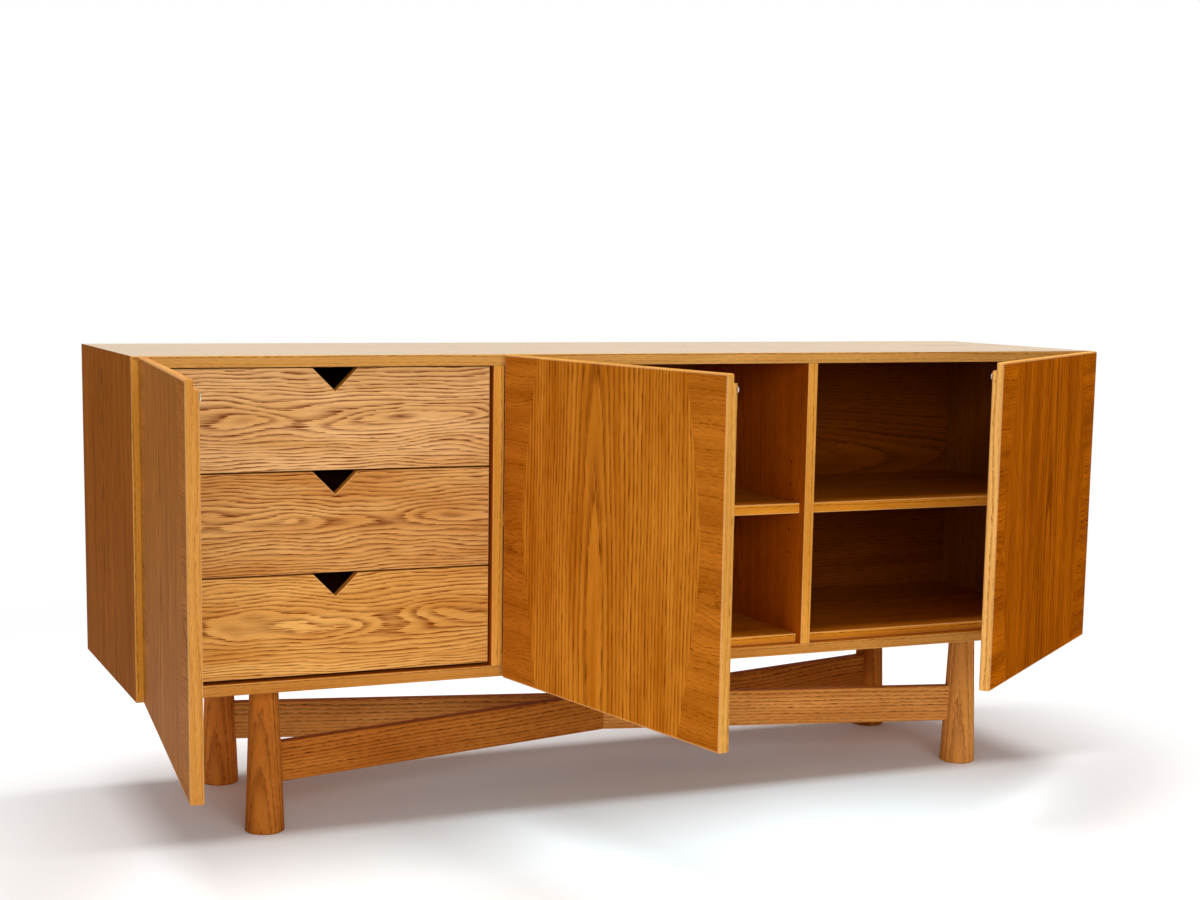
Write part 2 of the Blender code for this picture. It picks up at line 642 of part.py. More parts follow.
stack = INNER_TOP - DRAWER_TOP_GAP - INNER_FLOOR - DRAWER_FOOT_GAP
front_height = (stack - (DRAWER_COUNT - 1) * DRAWER_GAP) / DRAWER_COUNT
for step in range(DRAWER_COUNT):
    drawer_floor = INNER_FLOOR + DRAWER_FOOT_GAP + step * (front_height + DRAWER_GAP)
    make_drawer(DRAWER_COUNT - step, drawer_floor, front_height)
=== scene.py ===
"""Storage cabinet: the oak sideboard dressed and lit.

Metres, +Z up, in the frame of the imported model. Sizes in a wood pattern are in millimetres.
"""
import json
import math

import bmesh
import bpy
from mathutils import Euler, Matrix, Vector


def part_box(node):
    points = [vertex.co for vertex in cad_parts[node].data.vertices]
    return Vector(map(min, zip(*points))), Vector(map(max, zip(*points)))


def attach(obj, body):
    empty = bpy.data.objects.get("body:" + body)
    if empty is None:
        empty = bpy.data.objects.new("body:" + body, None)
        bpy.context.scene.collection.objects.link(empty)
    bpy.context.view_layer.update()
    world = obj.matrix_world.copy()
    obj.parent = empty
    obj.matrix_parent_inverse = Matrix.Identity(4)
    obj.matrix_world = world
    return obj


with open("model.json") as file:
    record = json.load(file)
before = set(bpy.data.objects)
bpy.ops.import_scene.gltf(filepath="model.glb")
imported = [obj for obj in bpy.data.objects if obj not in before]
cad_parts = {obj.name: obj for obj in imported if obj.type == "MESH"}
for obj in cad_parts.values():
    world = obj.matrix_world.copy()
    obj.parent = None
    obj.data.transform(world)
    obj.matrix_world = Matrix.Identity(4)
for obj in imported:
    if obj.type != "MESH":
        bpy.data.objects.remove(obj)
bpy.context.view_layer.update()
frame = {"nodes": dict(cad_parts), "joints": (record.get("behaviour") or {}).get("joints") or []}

# Camera: place in metres, turns in radians, lens and film in millimetres

CAMERA_PLACE = (-1.4483, -2.9708, 0.9463)
CAMERA_PAN = -0.4006
CAMERA_TILT = -0.1373
CAMERA_ROLL = -0.01341
CAMERA_LENS = 58.26
CAMERA_FILM = 36.0
CAMERA_SHIFT = (0.0307, 0.0709)
CAMERA_REACH = 100.0

# Light and floor: the world's level where it fills the shade, then the paper's sizes in metres

FILL_LEVEL = 0.3
FLOOR_REACH = 30.0
PAPER_FADE = (1.3, 2.6)
PAPER_WHITE = "#f6f6f6"
PAPER_COOL = "#e8f4f8"
COOL_OVAL = (0.95, 0.5)
COOL_CORE = 0.5

# Doors in millimetres: the curved joint between the upright field and the cross-banded sides

BAND_AT_WAIST = 62.0
BAND_WAIST_HEIGHT = 285.0
BAND_SLOPE = 0.22
BAND_ROUNDING = 20.0
HINGE_FROM_EDGE = 9.5

# Boards in millimetres: a drawer box's wall, and a board's rim, where an edge is no drilled hole

DRAWER_WALL = 12.0
EDGE_ZONE = 3.0

# Fittings in metres: the metal's thickness, and where its screws sit

PLATE_METAL = 0.002
PLATE_SCREW_RISE = 0.018
PLATE_SCREW_FROM_BACK = 0.016
CUP_FROM_AXIS = 0.013
FLANGE_FACE = 0.0195
CUP_SCREW_RISE = 0.022
RUNNER_METAL = 0.0015
RUNNER_SCREW_RISE = 0.022
RUNNER_SCREWS = (0.037, 0.190, 0.350)

# Pan heads: width and height in metres, then their parts and the cross recess as shares of them

PLATE_HEAD = (0.0075, 0.0022)
CUP_HEAD = (0.0066, 0.0012)
RUNNER_HEAD = (0.0072, 0.0018)
HEAD_RINGS = 7
HEAD_PARTS = 32
CROSS_REACH = 0.6
CROSS_HALF = 0.11
CROSS_SINK = 0.45

# From metres to millimetres, for a pattern's place and for half of a size

MILLIMETRE = (0.001, 0.001, 0.001)
HALF_SIZE = 500.0
CARCASE_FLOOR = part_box("bottom_panel")[0].z

# Ways a board can lie: which way its grain runs, and which way its face looks

LEVEL = (0.0, 0.0, 0.0)
UPRIGHT_SIDE = (0.0, -math.pi / 2, 0.0)
UPRIGHT_FRONT = (math.pi / 2, 0.0, 0.0)
DRAWER_SIDE = (math.pi / 2, 0.0, math.pi / 2)

# Edges of a board, told by how squarely a spot looks out of the face, or along the grain

EDGE_BELOW = 0.5
END_ABOVE = 0.7
# Where the painted highlight along an arris lies, and how much of it is mixed in
ARRIS_MIDDLE = 0.66
ARRIS_SPREAD = 0.32
ARRIS_HIGHLIGHT_SHARE = 0.4

# Noise in the oak: the trunk's bends, its pores, and slow stripes of tone in millimetres

SEED_STEP = (1370.0, 410.0, 90.0)
BEND_NOISE = {"Scale": 1.0, "Detail": 1.6, "Roughness": 0.42}
PORE_NOISE = {"Scale": 1.0, "Detail": 2.0, "Roughness": 0.6}
TONE_NOISE = {"Scale": 1.0, "Detail": 3.0, "Roughness": 0.55}
STRIPE_LENGTH = 300.0
STRIPE_WIDTH = 32.0
TONE_SPREAD = (0.34, 0.66)
DASH_SPREAD = (0.40, 0.56)
FLECK_SPREAD = (0.52, 0.63)
FLECK_DARK = 0.26

# Satin lacquer: its roughness and index, and how it dulls and sinks over the pores, in metres

SATIN = 0.45
PORES_DULLER = 0.14
PORE_RELIEF = 0.3
PORE_DEPTH = 0.0004
LACQUER_IOR = 1.5

# Plated steel and silicone: spots to a metre, and how the roughness spreads over them

BATH_SPOTS = 900.0
BATH_SPREAD = (-0.06, 0.10)
HAZE_SPOTS = 400.0
HAZE_ROUGHNESS = (0.2, 0.35)

# Oak lines over one year's growth: the dark open pores of spring, then the dense summer wood

SHARP_LINE = [(0.0, 0.95), (0.08, 1.0), (0.30, 0.62), (0.48, 0.12), (0.60, 0.0), (0.93, 0.0),
              (1.0, 0.8)]
BOLD_LINE = [(0.0, 1.0), (0.13, 0.95), (0.27, 0.68), (0.42, 0.32), (0.54, 0.03), (0.62, 0.0),
             (0.95, 0.0), (1.0, 1.0)]
SOFT_LINE = [(0.0, 0.75), (0.15, 0.8), (0.40, 0.30), (0.70, 0.05), (0.90, 0.08), (1.0, 0.65)]

# Figures of the oak in millimetres; heart is the tree's middle beside and below the face's middle

DRAWER_FIGURE = {
    "ring": 5.6, "heart": (2.0, 15.0), "sway": 34.0, "swell": 46.0, "taper": 0.0,
    "bend_length": 190.0, "bend_width": 62.0, "pore_length": 42.0, "pore_width": 1.2,
    "fray": 4.6, "uneven": 0.65, "dash": 0.3, "line": BOLD_LINE}
DOOR_FIGURE = {
    "ring": 8.2, "heart": (-26.0, 60.0), "sway": 44.0, "swell": 24.0, "taper": 0.02,
    "bend_length": 560.0, "bend_width": 150.0, "pore_length": 34.0, "pore_width": 1.3,
    "fray": 5.0, "uneven": 0.55, "dash": 0.25, "line": SHARP_LINE}
BAND_FIGURE = {
    "ring": 6.0, "heart": (-60.0, 36.0), "sway": 32.0, "swell": 36.0, "taper": 0.0,
    "bend_length": 130.0, "bend_width": 60.0, "pore_length": 16.0, "pore_width": 1.3,
    "fray": 6.0, "uneven": 0.1, "dash": 0.1, "line": SOFT_LINE}
PANEL_FIGURE = {
    "ring": 6.4, "heart": (30.0, 30.0), "sway": 34.0, "swell": 34.0, "taper": 0.06,
    "bend_length": 480.0, "bend_width": 150.0, "pore_length": 26.0, "pore_width": 1.3,
    "fray": 3.4, "uneven": 0.3, "dash": 0.35, "line": SOFT_LINE}
SOLID_FIGURE = {
    "ring": 5.2, "heart": (70.0, 45.0), "sway": 12.0, "swell": 16.0, "taper": 0.0,
    "bend_length": 420.0, "bend_width": 110.0, "pore_length": 14.0, "pore_width": 1.2,
    "fray": 3.6, "uneven": 0.4, "dash": 0.3, "line": SHARP_LINE}
LIPPING_FIGURE = {
    "ring": 3.6, "heart": (160.0, 60.0), "sway": 9.0, "swell": 10.0, "taper": 0.0,
    "bend_length": 320.0, "bend_width": 70.0, "pore_length": 16.0, "pore_width": 1.0,
    "fray": 3.4, "uneven": 0.05, "dash": 0.2, "line": SHARP_LINE}

# Lacquered oak: the pale and the deep ground between the rings, and the rings' own colour

HONEY = (("#edbc7e", "#dba462", "#70300f"), ("#e4af68", "#cb8c46", "#6e2b0b"),
         ("#e6ae5e", "#cf8e40", "#803c0f"))
AMBER = ("#d98a28", "#ba6b14", "#783505")
AMBER_BAND = ("#ca7820", "#ae6213", "#7c3a04")
# The top's yellower ground: a painted reflection of the pale room
AMBER_TOP_PAINTED_REFLECTION = ("#aa8024", "#98711b", "#6f4a10")
# The left door, the sides and the right door: darker copies of the amber oak, a painted shade for
# how light falls on them
LEFT_DOOR_PAINTED_SHADE = ("#b46d1a", "#9e5b13", "#6a360d")
SIDES_PAINTED_SHADE = ("#a65e18", "#915012", "#602f0a")
RIGHT_DOOR_PAINTED_SHADE = ("#b96109", "#964a05", "#602802")
# Inside the cabinet: darker, redder copies of the same oak, a painted shade where little light
# reaches
INNER_PAINTED_SHADE = ("#bf5f0a", "#a95107", "#702f03")
SHELF_PAINTED_SHADE = ("#b96711", "#a2570c", "#6e3705")
BACK_PAINTED_SHADE = ("#964c03", "#823e02", "#4d1f01")
CHESTNUT = ("#c1742c", "#a75d1e", "#612f0e")
# Paler copies of the chestnut oak for the front-right leg and rail and the back-left leg: painted
# light
CHESTNUT_PAINTED_LIGHT = ("#e69e50", "#cb833c", "#7d451f")
CHESTNUT_PAINTED_LIGHT_WARM = ("#e38b3b", "#c8732b", "#7b3c16")
# The solid-oak lipping in copies that are paler or deeper by how the light falls on each edge:
# painted light and shade
LIPPING = ("#e6a246", "#d18c30", "#8e4f14")
LIPPING_DEEP = ("#ca8c42", "#b87730", "#7c4a18")
LIPPING_ORANGE = ("#e4962e", "#d08322", "#8e5010")
LIPPING_PALE = ("#e9b265", "#d89c4e", "#9e6426")
LIPPING_WARM = ("#d59b4b", "#c48738", "#865014")
LIPPING_TOP = ("#d69d50", "#c48a40", "#82501f")
# The colour of the painted highlight along the arrises
ARRIS_PAINTED_HIGHLIGHT = "#f0c07c"


def linear(shade):
    """A colour written as sRGB hex, in the linear numbers that a shader takes."""
    parts = [int(shade[i:i + 2], 16) / 255 for i in (1, 3, 5)]
    return (*[p / 12.92 if p <= 0.04045 else ((p + 0.055) / 1.055) ** 2.4 for p in parts], 1.0)


# Inputs by number: Map Range turns 1-2 into 3-4, and Mix turns 2, 4 or 6 into 3, 5 or 7 by 0


def node(tree, kind, inputs, **settings):
    """Add a node with its settings; an input that is a socket is linked, and any other is set."""
    made = tree.nodes.new(kind)
    for name, value in settings.items():
        setattr(made, name, value)
    for key, value in inputs.items():
        if isinstance(value, bpy.types.NodeSocket):
            tree.links.new(value, made.inputs[key])
        else:
            made.inputs[key].default_value = value
    return made


def start_material(name):
    """A new material, its tree and its shader."""
    made = bpy.data.materials.new(name)
    made.use_nodes = True
    tree = made.node_tree
    return made, tree, tree.nodes["Principled BSDF"]


def dress(name, material):
    """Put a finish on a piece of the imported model."""
    for holder in frame["nodes"][name].material_slots:
        holder.material = material


def middle(name):
    """The middle of a node's box."""
    low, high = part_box(name)
    return (low + high) / 2


def hinge_of(door):
    """The joint that a door swings on."""
    return next(joint for joint in frame["joints"] if joint["name"] == f"{door}_door_hinge")


# Oak: rings and pores along the grain, under a satin lacquer


def laid(tree, centre, turn):
    """Place and normal in a board's own millimetres: x along the grain, y across, z through."""
    spot = node(tree, "ShaderNodeTexCoord", {})
    place = node(tree, "ShaderNodeMapping", {
        "Vector": spot.outputs["Object"], "Location": centre, "Rotation": turn,
        "Scale": MILLIMETRE}, vector_type="TEXTURE")
    facing = node(tree, "ShaderNodeMapping", {
        "Vector": spot.outputs["Normal"], "Rotation": turn}, vector_type="TEXTURE")
    return place.outputs[0], facing.outputs[0]


def streaks(tree, place, length, width, noise):
    """Noise drawn out along the grain, in streaks of a given length and width."""
    drawn_out = node(tree, "ShaderNodeVectorMath", {
        0: place, 1: (1 / length, 1 / width, 1 / width)}, operation="MULTIPLY")
    return node(tree, "ShaderNodeTexNoise", {"Vector": drawn_out.outputs[0], **noise})


def growth(tree, place, figure, seed):
    """Rings and pores of oak cut flat: how dark the wood is, its pores, and its slow tone."""
    moved = node(tree, "ShaderNodeVectorMath", {
        0: place, 1: [seed * step for step in SEED_STEP]}, operation="ADD").outputs[0]
    bend = streaks(tree, moved, figure["bend_length"], figure["bend_width"], BEND_NOISE)
    # Short dashes along the grain, drawn coarser than the real 0.3 mm so that they show
    pores = streaks(tree, moved, figure["pore_length"], figure["pore_width"], PORE_NOISE)
    tone = streaks(tree, moved, STRIPE_LENGTH, STRIPE_WIDTH, TONE_NOISE)
    # How far each spot lies from the bent heart of the tree, beside it and below it
    bend_parts = node(tree, "ShaderNodeSeparateXYZ", {0: bend.outputs["Color"]})
    place_parts = node(tree, "ShaderNodeSeparateXYZ", {0: place})
    across = node(tree, "ShaderNodeMath", {
        0: bend_parts.outputs[0], 1: figure["sway"], 2: place_parts.outputs[1]},
        operation="MULTIPLY_ADD")
    across = node(tree, "ShaderNodeMath", {
        0: across.outputs[0], 1: figure["heart"][0] + figure["sway"] / 2}, operation="SUBTRACT")
    depth = node(tree, "ShaderNodeMath", {
        0: bend_parts.outputs[1], 1: figure["swell"], 2: place_parts.outputs[2]},
        operation="MULTIPLY_ADD")
    depth = node(tree, "ShaderNodeMath", {
        0: place_parts.outputs[0], 1: figure["taper"], 2: depth.outputs[0]},
        operation="MULTIPLY_ADD")
    depth = node(tree, "ShaderNodeMath", {
        0: depth.outputs[0], 1: figure["heart"][1] - figure["swell"] / 2}, operation="ADD")
    spoke = node(tree, "ShaderNodeCombineXYZ", {0: across.outputs[0], 1: depth.outputs[0]})
    radius = node(tree, "ShaderNodeVectorMath", {0: spoke.outputs[0]}, operation="LENGTH")
    # Rings with frayed rims, each year of its own strength and broken into dashes by the pores
    frayed = node(tree, "ShaderNodeMath", {
        0: pores.outputs[0], 1: figure["fray"], 2: radius.outputs["Value"]},
        operation="MULTIPLY_ADD")
    rings = node(tree, "ShaderNodeMath", {0: frayed.outputs[0], 1: figure["ring"]},
                 operation="DIVIDE")
    year = node(tree, "ShaderNodeMath", {0: rings.outputs[0]}, operation="FLOOR")
    season = node(tree, "ShaderNodeMath", {0: rings.outputs[0]}, operation="FRACT")
    strength = node(tree, "ShaderNodeTexWhiteNoise", {"W": year.outputs[0]},
                    noise_dimensions="1D")
    line = node(tree, "ShaderNodeValToRGB", {0: season.outputs[0]})
    for _ in figure["line"][2:]:
        line.color_ramp.elements.new(0.5)
    for element, (when, darkness) in zip(line.color_ramp.elements, figure["line"]):
        element.position = when
        element.color = (darkness, darkness, darkness, 1.0)
    uneven = node(tree, "ShaderNodeMapRange", {
        0: strength.outputs["Value"], 3: figure["uneven"], 4: 1.0})
    dashed = node(tree, "ShaderNodeMapRange", {
        0: pores.outputs[0], 1: DASH_SPREAD[0], 2: DASH_SPREAD[1], 3: figure["dash"], 4: 1.0})
    lines = node(tree, "ShaderNodeMath", {0: line.outputs[0], 1: uneven.outputs[0]},
                 operation="MULTIPLY")
    dark = node(tree, "ShaderNodeMath", {0: lines.outputs[0], 1: dashed.outputs[0]},
                operation="MULTIPLY")
    return dark.outputs[0], pores.outputs[0], tone.outputs[0]


def colour_of(tree, wood, shades):
    """The wood's colour: a pale and a deep ground in long stripes, and the dark of the rings."""
    dark, pores, tone = wood
    spread = node(tree, "ShaderNodeMapRange", {0: tone, 1: TONE_SPREAD[0], 2: TONE_SPREAD[1]})
    ground = node(tree, "ShaderNodeMix", {
        0: spread.outputs[0], 6: linear(shades[0]), 7: linear(shades[1])}, data_type="RGBA")
    fleck = node(tree, "ShaderNodeMapRange", {
        0: pores, 1: FLECK_SPREAD[0], 2: FLECK_SPREAD[1], 3: 0.0, 4: FLECK_DARK})
    depth = node(tree, "ShaderNodeMath", {0: dark, 1: fleck.outputs[0]}, operation="ADD",
                 use_clamp=True)
    colour = node(tree, "ShaderNodeMix", {
        0: depth.outputs[0], 6: ground.outputs[2], 7: linear(shades[2])}, data_type="RGBA")
    return colour.outputs[2]


def lipped_edges(tree, place, facing, face_colour, seed, lipping):
    """The face's colour, and on its edges the paler solid lipping, with a painted highlight along
    the rounded arrises.
    """
    facing_parts = node(tree, "ShaderNodeSeparateXYZ", {0: facing})
    through = node(tree, "ShaderNodeMath", {0: facing_parts.outputs[2]}, operation="ABSOLUTE")
    on_edge = node(tree, "ShaderNodeMath", {0: through.outputs[0], 1: EDGE_BELOW},
                   operation="LESS_THAN")
    along = node(tree, "ShaderNodeMath", {0: facing_parts.outputs[0]}, operation="ABSOLUTE")
    on_end = node(tree, "ShaderNodeMath", {0: along.outputs[0], 1: END_ABOVE},
                  operation="GREATER_THAN")
    # The lipping's grain runs along each edge of the board
    parts = node(tree, "ShaderNodeSeparateXYZ", {0: place})
    crossways = node(tree, "ShaderNodeCombineXYZ", {
        0: parts.outputs[1], 1: parts.outputs[2], 2: parts.outputs[0]})
    lengthways = node(tree, "ShaderNodeCombineXYZ", {
        0: parts.outputs[0], 1: parts.outputs[2], 2: parts.outputs[1]})
    edge_place = node(tree, "ShaderNodeMix", {
        0: on_end.outputs[0], 4: lengthways.outputs[0], 5: crossways.outputs[0]},
        data_type="VECTOR")
    edge_wood = growth(tree, edge_place.outputs[1], LIPPING_FIGURE, seed + 0.5)
    colour = node(tree, "ShaderNodeMix", {
        0: on_edge.outputs[0], 6: face_colour, 7: colour_of(tree, edge_wood, lipping)},
        data_type="RGBA")
    # The rounded arrises get a painted highlight, paler than the face and the edge, in place of
    # the lacquer's gleam there
    arris = node(tree, "ShaderNodeMath", {
        0: through.outputs[0], 1: ARRIS_MIDDLE, 2: ARRIS_SPREAD}, operation="COMPARE")
    highlight_share = node(tree, "ShaderNodeMath", {0: arris.outputs[0], 1: ARRIS_HIGHLIGHT_SHARE},
                  operation="MULTIPLY")
    highlit = node(tree, "ShaderNodeMix", {
        0: highlight_share.outputs[0], 6: colour.outputs[2], 7: linear(ARRIS_PAINTED_HIGHLIGHT)}, data_type="RGBA")
    return highlit.outputs[2]


def shaded_holes(tree, place, facing, colour, half, hole_shade):
    """The board's colour, and inside its holes a painted shade in the dark colour of the rings."""
    facing_parts = node(tree, "ShaderNodeSeparateXYZ", {0: facing})
    through = node(tree, "ShaderNodeMath", {0: facing_parts.outputs[2]}, operation="ABSOLUTE")
    wall = node(tree, "ShaderNodeMath", {0: through.outputs[0], 1: EDGE_BELOW},
                operation="LESS_THAN")
    spread = node(tree, "ShaderNodeVectorMath", {0: place}, operation="ABSOLUTE")
    past = node(tree, "ShaderNodeVectorMath", {
        0: spread.outputs[0], 1: (half[0] - EDGE_ZONE, half[1] - EDGE_ZONE, 0.0)},
        operation="SUBTRACT")
    past_parts = node(tree, "ShaderNodeSeparateXYZ", {0: past.outputs[0]})
    outermost = node(tree, "ShaderNodeMath", {0: past_parts.outputs[0], 1: past_parts.outputs[1]},
                     operation="MAXIMUM")
    inside = node(tree, "ShaderNodeMath", {0: outermost.outputs[0], 1: 0.0},
                  operation="LESS_THAN")
    in_hole = node(tree, "ShaderNodeMath", {0: wall.outputs[0], 1: inside.outputs[0]},
                 operation="MULTIPLY")
    mixed = node(tree, "ShaderNodeMix", {
        0: in_hole.outputs[0], 6: colour, 7: linear(hole_shade)}, data_type="RGBA")
    return mixed.outputs[2]


def lacquer(tree, shader, colour, dark, gloss, roughness=SATIN, tint="#ffffff"):
    """Satin lacquer over the wood: a faint sheen, duller and a little sunk over the open pores."""
    sheen = node(tree, "ShaderNodeMapRange", {
        0: dark, 3: roughness, 4: roughness + PORES_DULLER})
    relief = node(tree, "ShaderNodeBump", {
        "Height": dark, "Strength": PORE_RELIEF, "Distance": PORE_DEPTH}, invert=True)
    tree.links.new(colour, shader.inputs["Base Color"])
    tree.links.new(sheen.outputs[0], shader.inputs["Roughness"])
    tree.links.new(relief.outputs[0], shader.inputs["Normal"])
    shader.inputs["IOR"].default_value = LACQUER_IOR
    shader.inputs["Specular IOR Level"].default_value = gloss
    shader.inputs["Specular Tint"].default_value = linear(tint)


def oak_board(name, centre, turn, figure, shades, seed, lipping=None, drilled=None,
              gloss=0.002, **finish):
    """Oak under satin lacquer, as veneer with lipped edges or as solid wood."""
    made, tree, shader = start_material(name)
    place, facing = laid(tree, centre, turn)
    wood = growth(tree, place, figure, seed)
    colour = colour_of(tree, wood, shades)
    if lipping:
        colour = lipped_edges(tree, place, facing, colour, seed, lipping)
    if drilled:
        # Painted shade inside the drilled holes
        colour = shaded_holes(tree, place, facing, colour, drilled, shades[2])
    lacquer(tree, shader, colour, wood[0], gloss, **finish)
    return made


def veneered_door(door, field_shades, band_shades, lipping, seed, gloss=0.0):
    """Oak veneer laid in three: an upright field between cross-banded sides with curved joints."""
    name = f"door_{door}"
    hinge = hinge_of(door)
    side = -hinge["axis"][2]
    opening = math.radians(-hinge["range_deg"][0])
    axis = Vector(hinge["pos_m"])
    low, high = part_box(name)
    half = (high - low).xy.length * HALF_SIZE
    made, tree, shader = start_material(f"satin lacquered oak veneer, {name}")
    place, facing = laid(tree, (axis.x, axis.y, CARCASE_FLOOR), (0.0, 0.0, -side * opening))
    parts = node(tree, "ShaderNodeSeparateXYZ", {0: place})
    beside = node(tree, "ShaderNodeMath", {
        0: parts.outputs[0], 1: side, 2: HINGE_FROM_EDGE - half}, operation="MULTIPLY_ADD")
    rise = node(tree, "ShaderNodeMath", {0: parts.outputs[2], 1: BAND_WAIST_HEIGHT},
                operation="SUBTRACT")
    # The bands are narrowest at the waist, and widen above and below it on a curve
    away = node(tree, "ShaderNodeMath", {0: beside.outputs[0]}, operation="ABSOLUTE")
    slant = node(tree, "ShaderNodeMath", {0: rise.outputs[0], 1: BAND_SLOPE},
                 operation="MULTIPLY")
    bow = node(tree, "ShaderNodeCombineXYZ", {0: slant.outputs[0], 1: BAND_ROUNDING})
    bow = node(tree, "ShaderNodeVectorMath", {0: bow.outputs[0]}, operation="LENGTH")
    reach = node(tree, "ShaderNodeMath", {0: away.outputs[0], 1: bow.outputs["Value"]},
                 operation="ADD")
    in_band = node(tree, "ShaderNodeMath", {
        0: reach.outputs[0], 1: half - BAND_AT_WAIST + BAND_ROUNDING}, operation="GREATER_THAN")
    # The field's grain stands upright, and the bands' grain lies level
    field = node(tree, "ShaderNodeCombineXYZ", {
        0: parts.outputs[2], 1: beside.outputs[0], 2: parts.outputs[1]})
    band = node(tree, "ShaderNodeCombineXYZ", {
        0: beside.outputs[0], 1: rise.outputs[0], 2: parts.outputs[1]})
    field_wood = growth(tree, field.outputs[0], DOOR_FIGURE, seed)
    band_wood = growth(tree, band.outputs[0], BAND_FIGURE, seed + 0.3)
    veneer = node(tree, "ShaderNodeMix", {
        0: in_band.outputs[0], 6: colour_of(tree, field_wood, field_shades),
        7: colour_of(tree, band_wood, band_shades)}, data_type="RGBA")
    dark = node(tree, "ShaderNodeMix", {
        0: in_band.outputs[0], 2: field_wood[0], 3: band_wood[0]}, data_type="FLOAT")
    facing_parts = node(tree, "ShaderNodeSeparateXYZ", {0: facing})
    board_facing = node(tree, "ShaderNodeCombineXYZ", {
        0: facing_parts.outputs[2], 1: facing_parts.outputs[0], 2: facing_parts.outputs[1]})
    colour = lipped_edges(tree, field.outputs[0], board_facing.outputs[0], veneer.outputs[2],
                          seed, lipping)
    lacquer(tree, shader, colour, dark.outputs[0], gloss)
    return made


def drawer_box_oak(name, seed):
    """Oak board of a drawer box: grain along the two sides, and from side to side on the back."""
    made, tree, shader = start_material(f"satin lacquered oak, {name}")
    low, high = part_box(name)
    place, _ = laid(tree, middle(name), DRAWER_SIDE)
    parts = node(tree, "ShaderNodeSeparateXYZ", {0: place})
    back = node(tree, "ShaderNodeMath", {
        0: parts.outputs[0], 1: (high.y - low.y) * HALF_SIZE - DRAWER_WALL},
        operation="GREATER_THAN")
    level = node(tree, "ShaderNodeCombineXYZ", {
        0: parts.outputs[2], 1: parts.outputs[1], 2: parts.outputs[0]})
    board = node(tree, "ShaderNodeMix", {
        0: back.outputs[0], 4: place, 5: level.outputs[0]}, data_type="VECTOR")
    wood = growth(tree, board.outputs[1], PANEL_FIGURE, seed)
    # The drawer box takes the painted-shade copy of the oak
    lacquer(tree, shader, colour_of(tree, wood, SHELF_PAINTED_SHADE), wood[0], gloss=0.02)
    return made


# Steel, silicone and paper


def plated_steel(name, shade, roughness):
    """Nickel or zinc plate on pressed steel: grey, its gloss a little uneven from the bath."""
    made, tree, shader = start_material(name)
    spot = node(tree, "ShaderNodeTexCoord", {})
    bath = node(tree, "ShaderNodeTexNoise", {
        "Vector": spot.outputs["Object"], "Scale": BATH_SPOTS, "Detail": 2.0})
    spread = node(tree, "ShaderNodeMapRange", {
        0: bath.outputs[0], 3: roughness + BATH_SPREAD[0], 4: roughness + BATH_SPREAD[1]})
    shader.inputs["Base Color"].default_value = linear(shade)
    shader.inputs["Metallic"].default_value = 1.0
    tree.links.new(spread.outputs[0], shader.inputs["Roughness"])
    return made


def clear_silicone():
    """Moulded clear silicone: lets the oak behind show through, slightly cloudy."""
    made, tree, shader = start_material("clear silicone")
    spot = node(tree, "ShaderNodeTexCoord", {})
    haze = node(tree, "ShaderNodeTexNoise", {
        "Vector": spot.outputs["Object"], "Scale": HAZE_SPOTS})
    spread = node(tree, "ShaderNodeMapRange", {
        0: haze.outputs[0], 3: HAZE_ROUGHNESS[0], 4: HAZE_ROUGHNESS[1]})
    tree.links.new(spread.outputs[0], shader.inputs["Roughness"])
    shader.inputs["Base Color"].default_value = linear("#e8e4da")
    shader.inputs["Transmission Weight"].default_value = 0.6
    shader.inputs["IOR"].default_value = 1.41
    return made


def white_paper():
    """Matt white paper that keeps the cabinet's shadow and fades into the white background."""
    made, tree, shader = start_material("white paper")
    shader.inputs["Roughness"].default_value = 0.9
    shader.inputs["Specular IOR Level"].default_value = 0.0
    spot = node(tree, "ShaderNodeTexCoord", {})
    # A cooler white under the cabinet, where the oak's orange light falls: the shadow stays grey
    oval = node(tree, "ShaderNodeVectorMath", {
        0: spot.outputs["Object"], 1: (1.0 / COOL_OVAL[0], 1.0 / COOL_OVAL[1], 1.0)},
        operation="MULTIPLY")
    out = node(tree, "ShaderNodeVectorMath", {0: oval.outputs[0]}, operation="LENGTH")
    clear = node(tree, "ShaderNodeMapRange", {0: out.outputs["Value"], 1: COOL_CORE})
    colour = node(tree, "ShaderNodeMix", {
        0: clear.outputs[0], 6: linear(PAPER_COOL), 7: linear(PAPER_WHITE)}, data_type="RGBA")
    tree.links.new(colour.outputs[2], shader.inputs["Base Color"])
    # Further out, the camera sees plain white
    far = node(tree, "ShaderNodeVectorMath", {0: spot.outputs["Object"]}, operation="LENGTH")
    fade = node(tree, "ShaderNodeMapRange", {
        0: far.outputs["Value"], 1: PAPER_FADE[0], 2: PAPER_FADE[1]})
    path = node(tree, "ShaderNodeLightPath", {})
    seen = node(tree, "ShaderNodeMath", {0: fade.outputs[0], 1: path.outputs["Is Camera Ray"]},
                operation="MULTIPLY")
    white = node(tree, "ShaderNodeEmission", {"Strength": 1.0})
    mixed = node(tree, "ShaderNodeMixShader", {
        0: seen.outputs[0], 1: shader.outputs[0], 2: white.outputs[0]})
    tree.links.new(mixed.outputs[0], tree.nodes["Material Output"].inputs[0])
    return made


# Carcase and shelves; each board has a seed of its own, so no two show the same figure

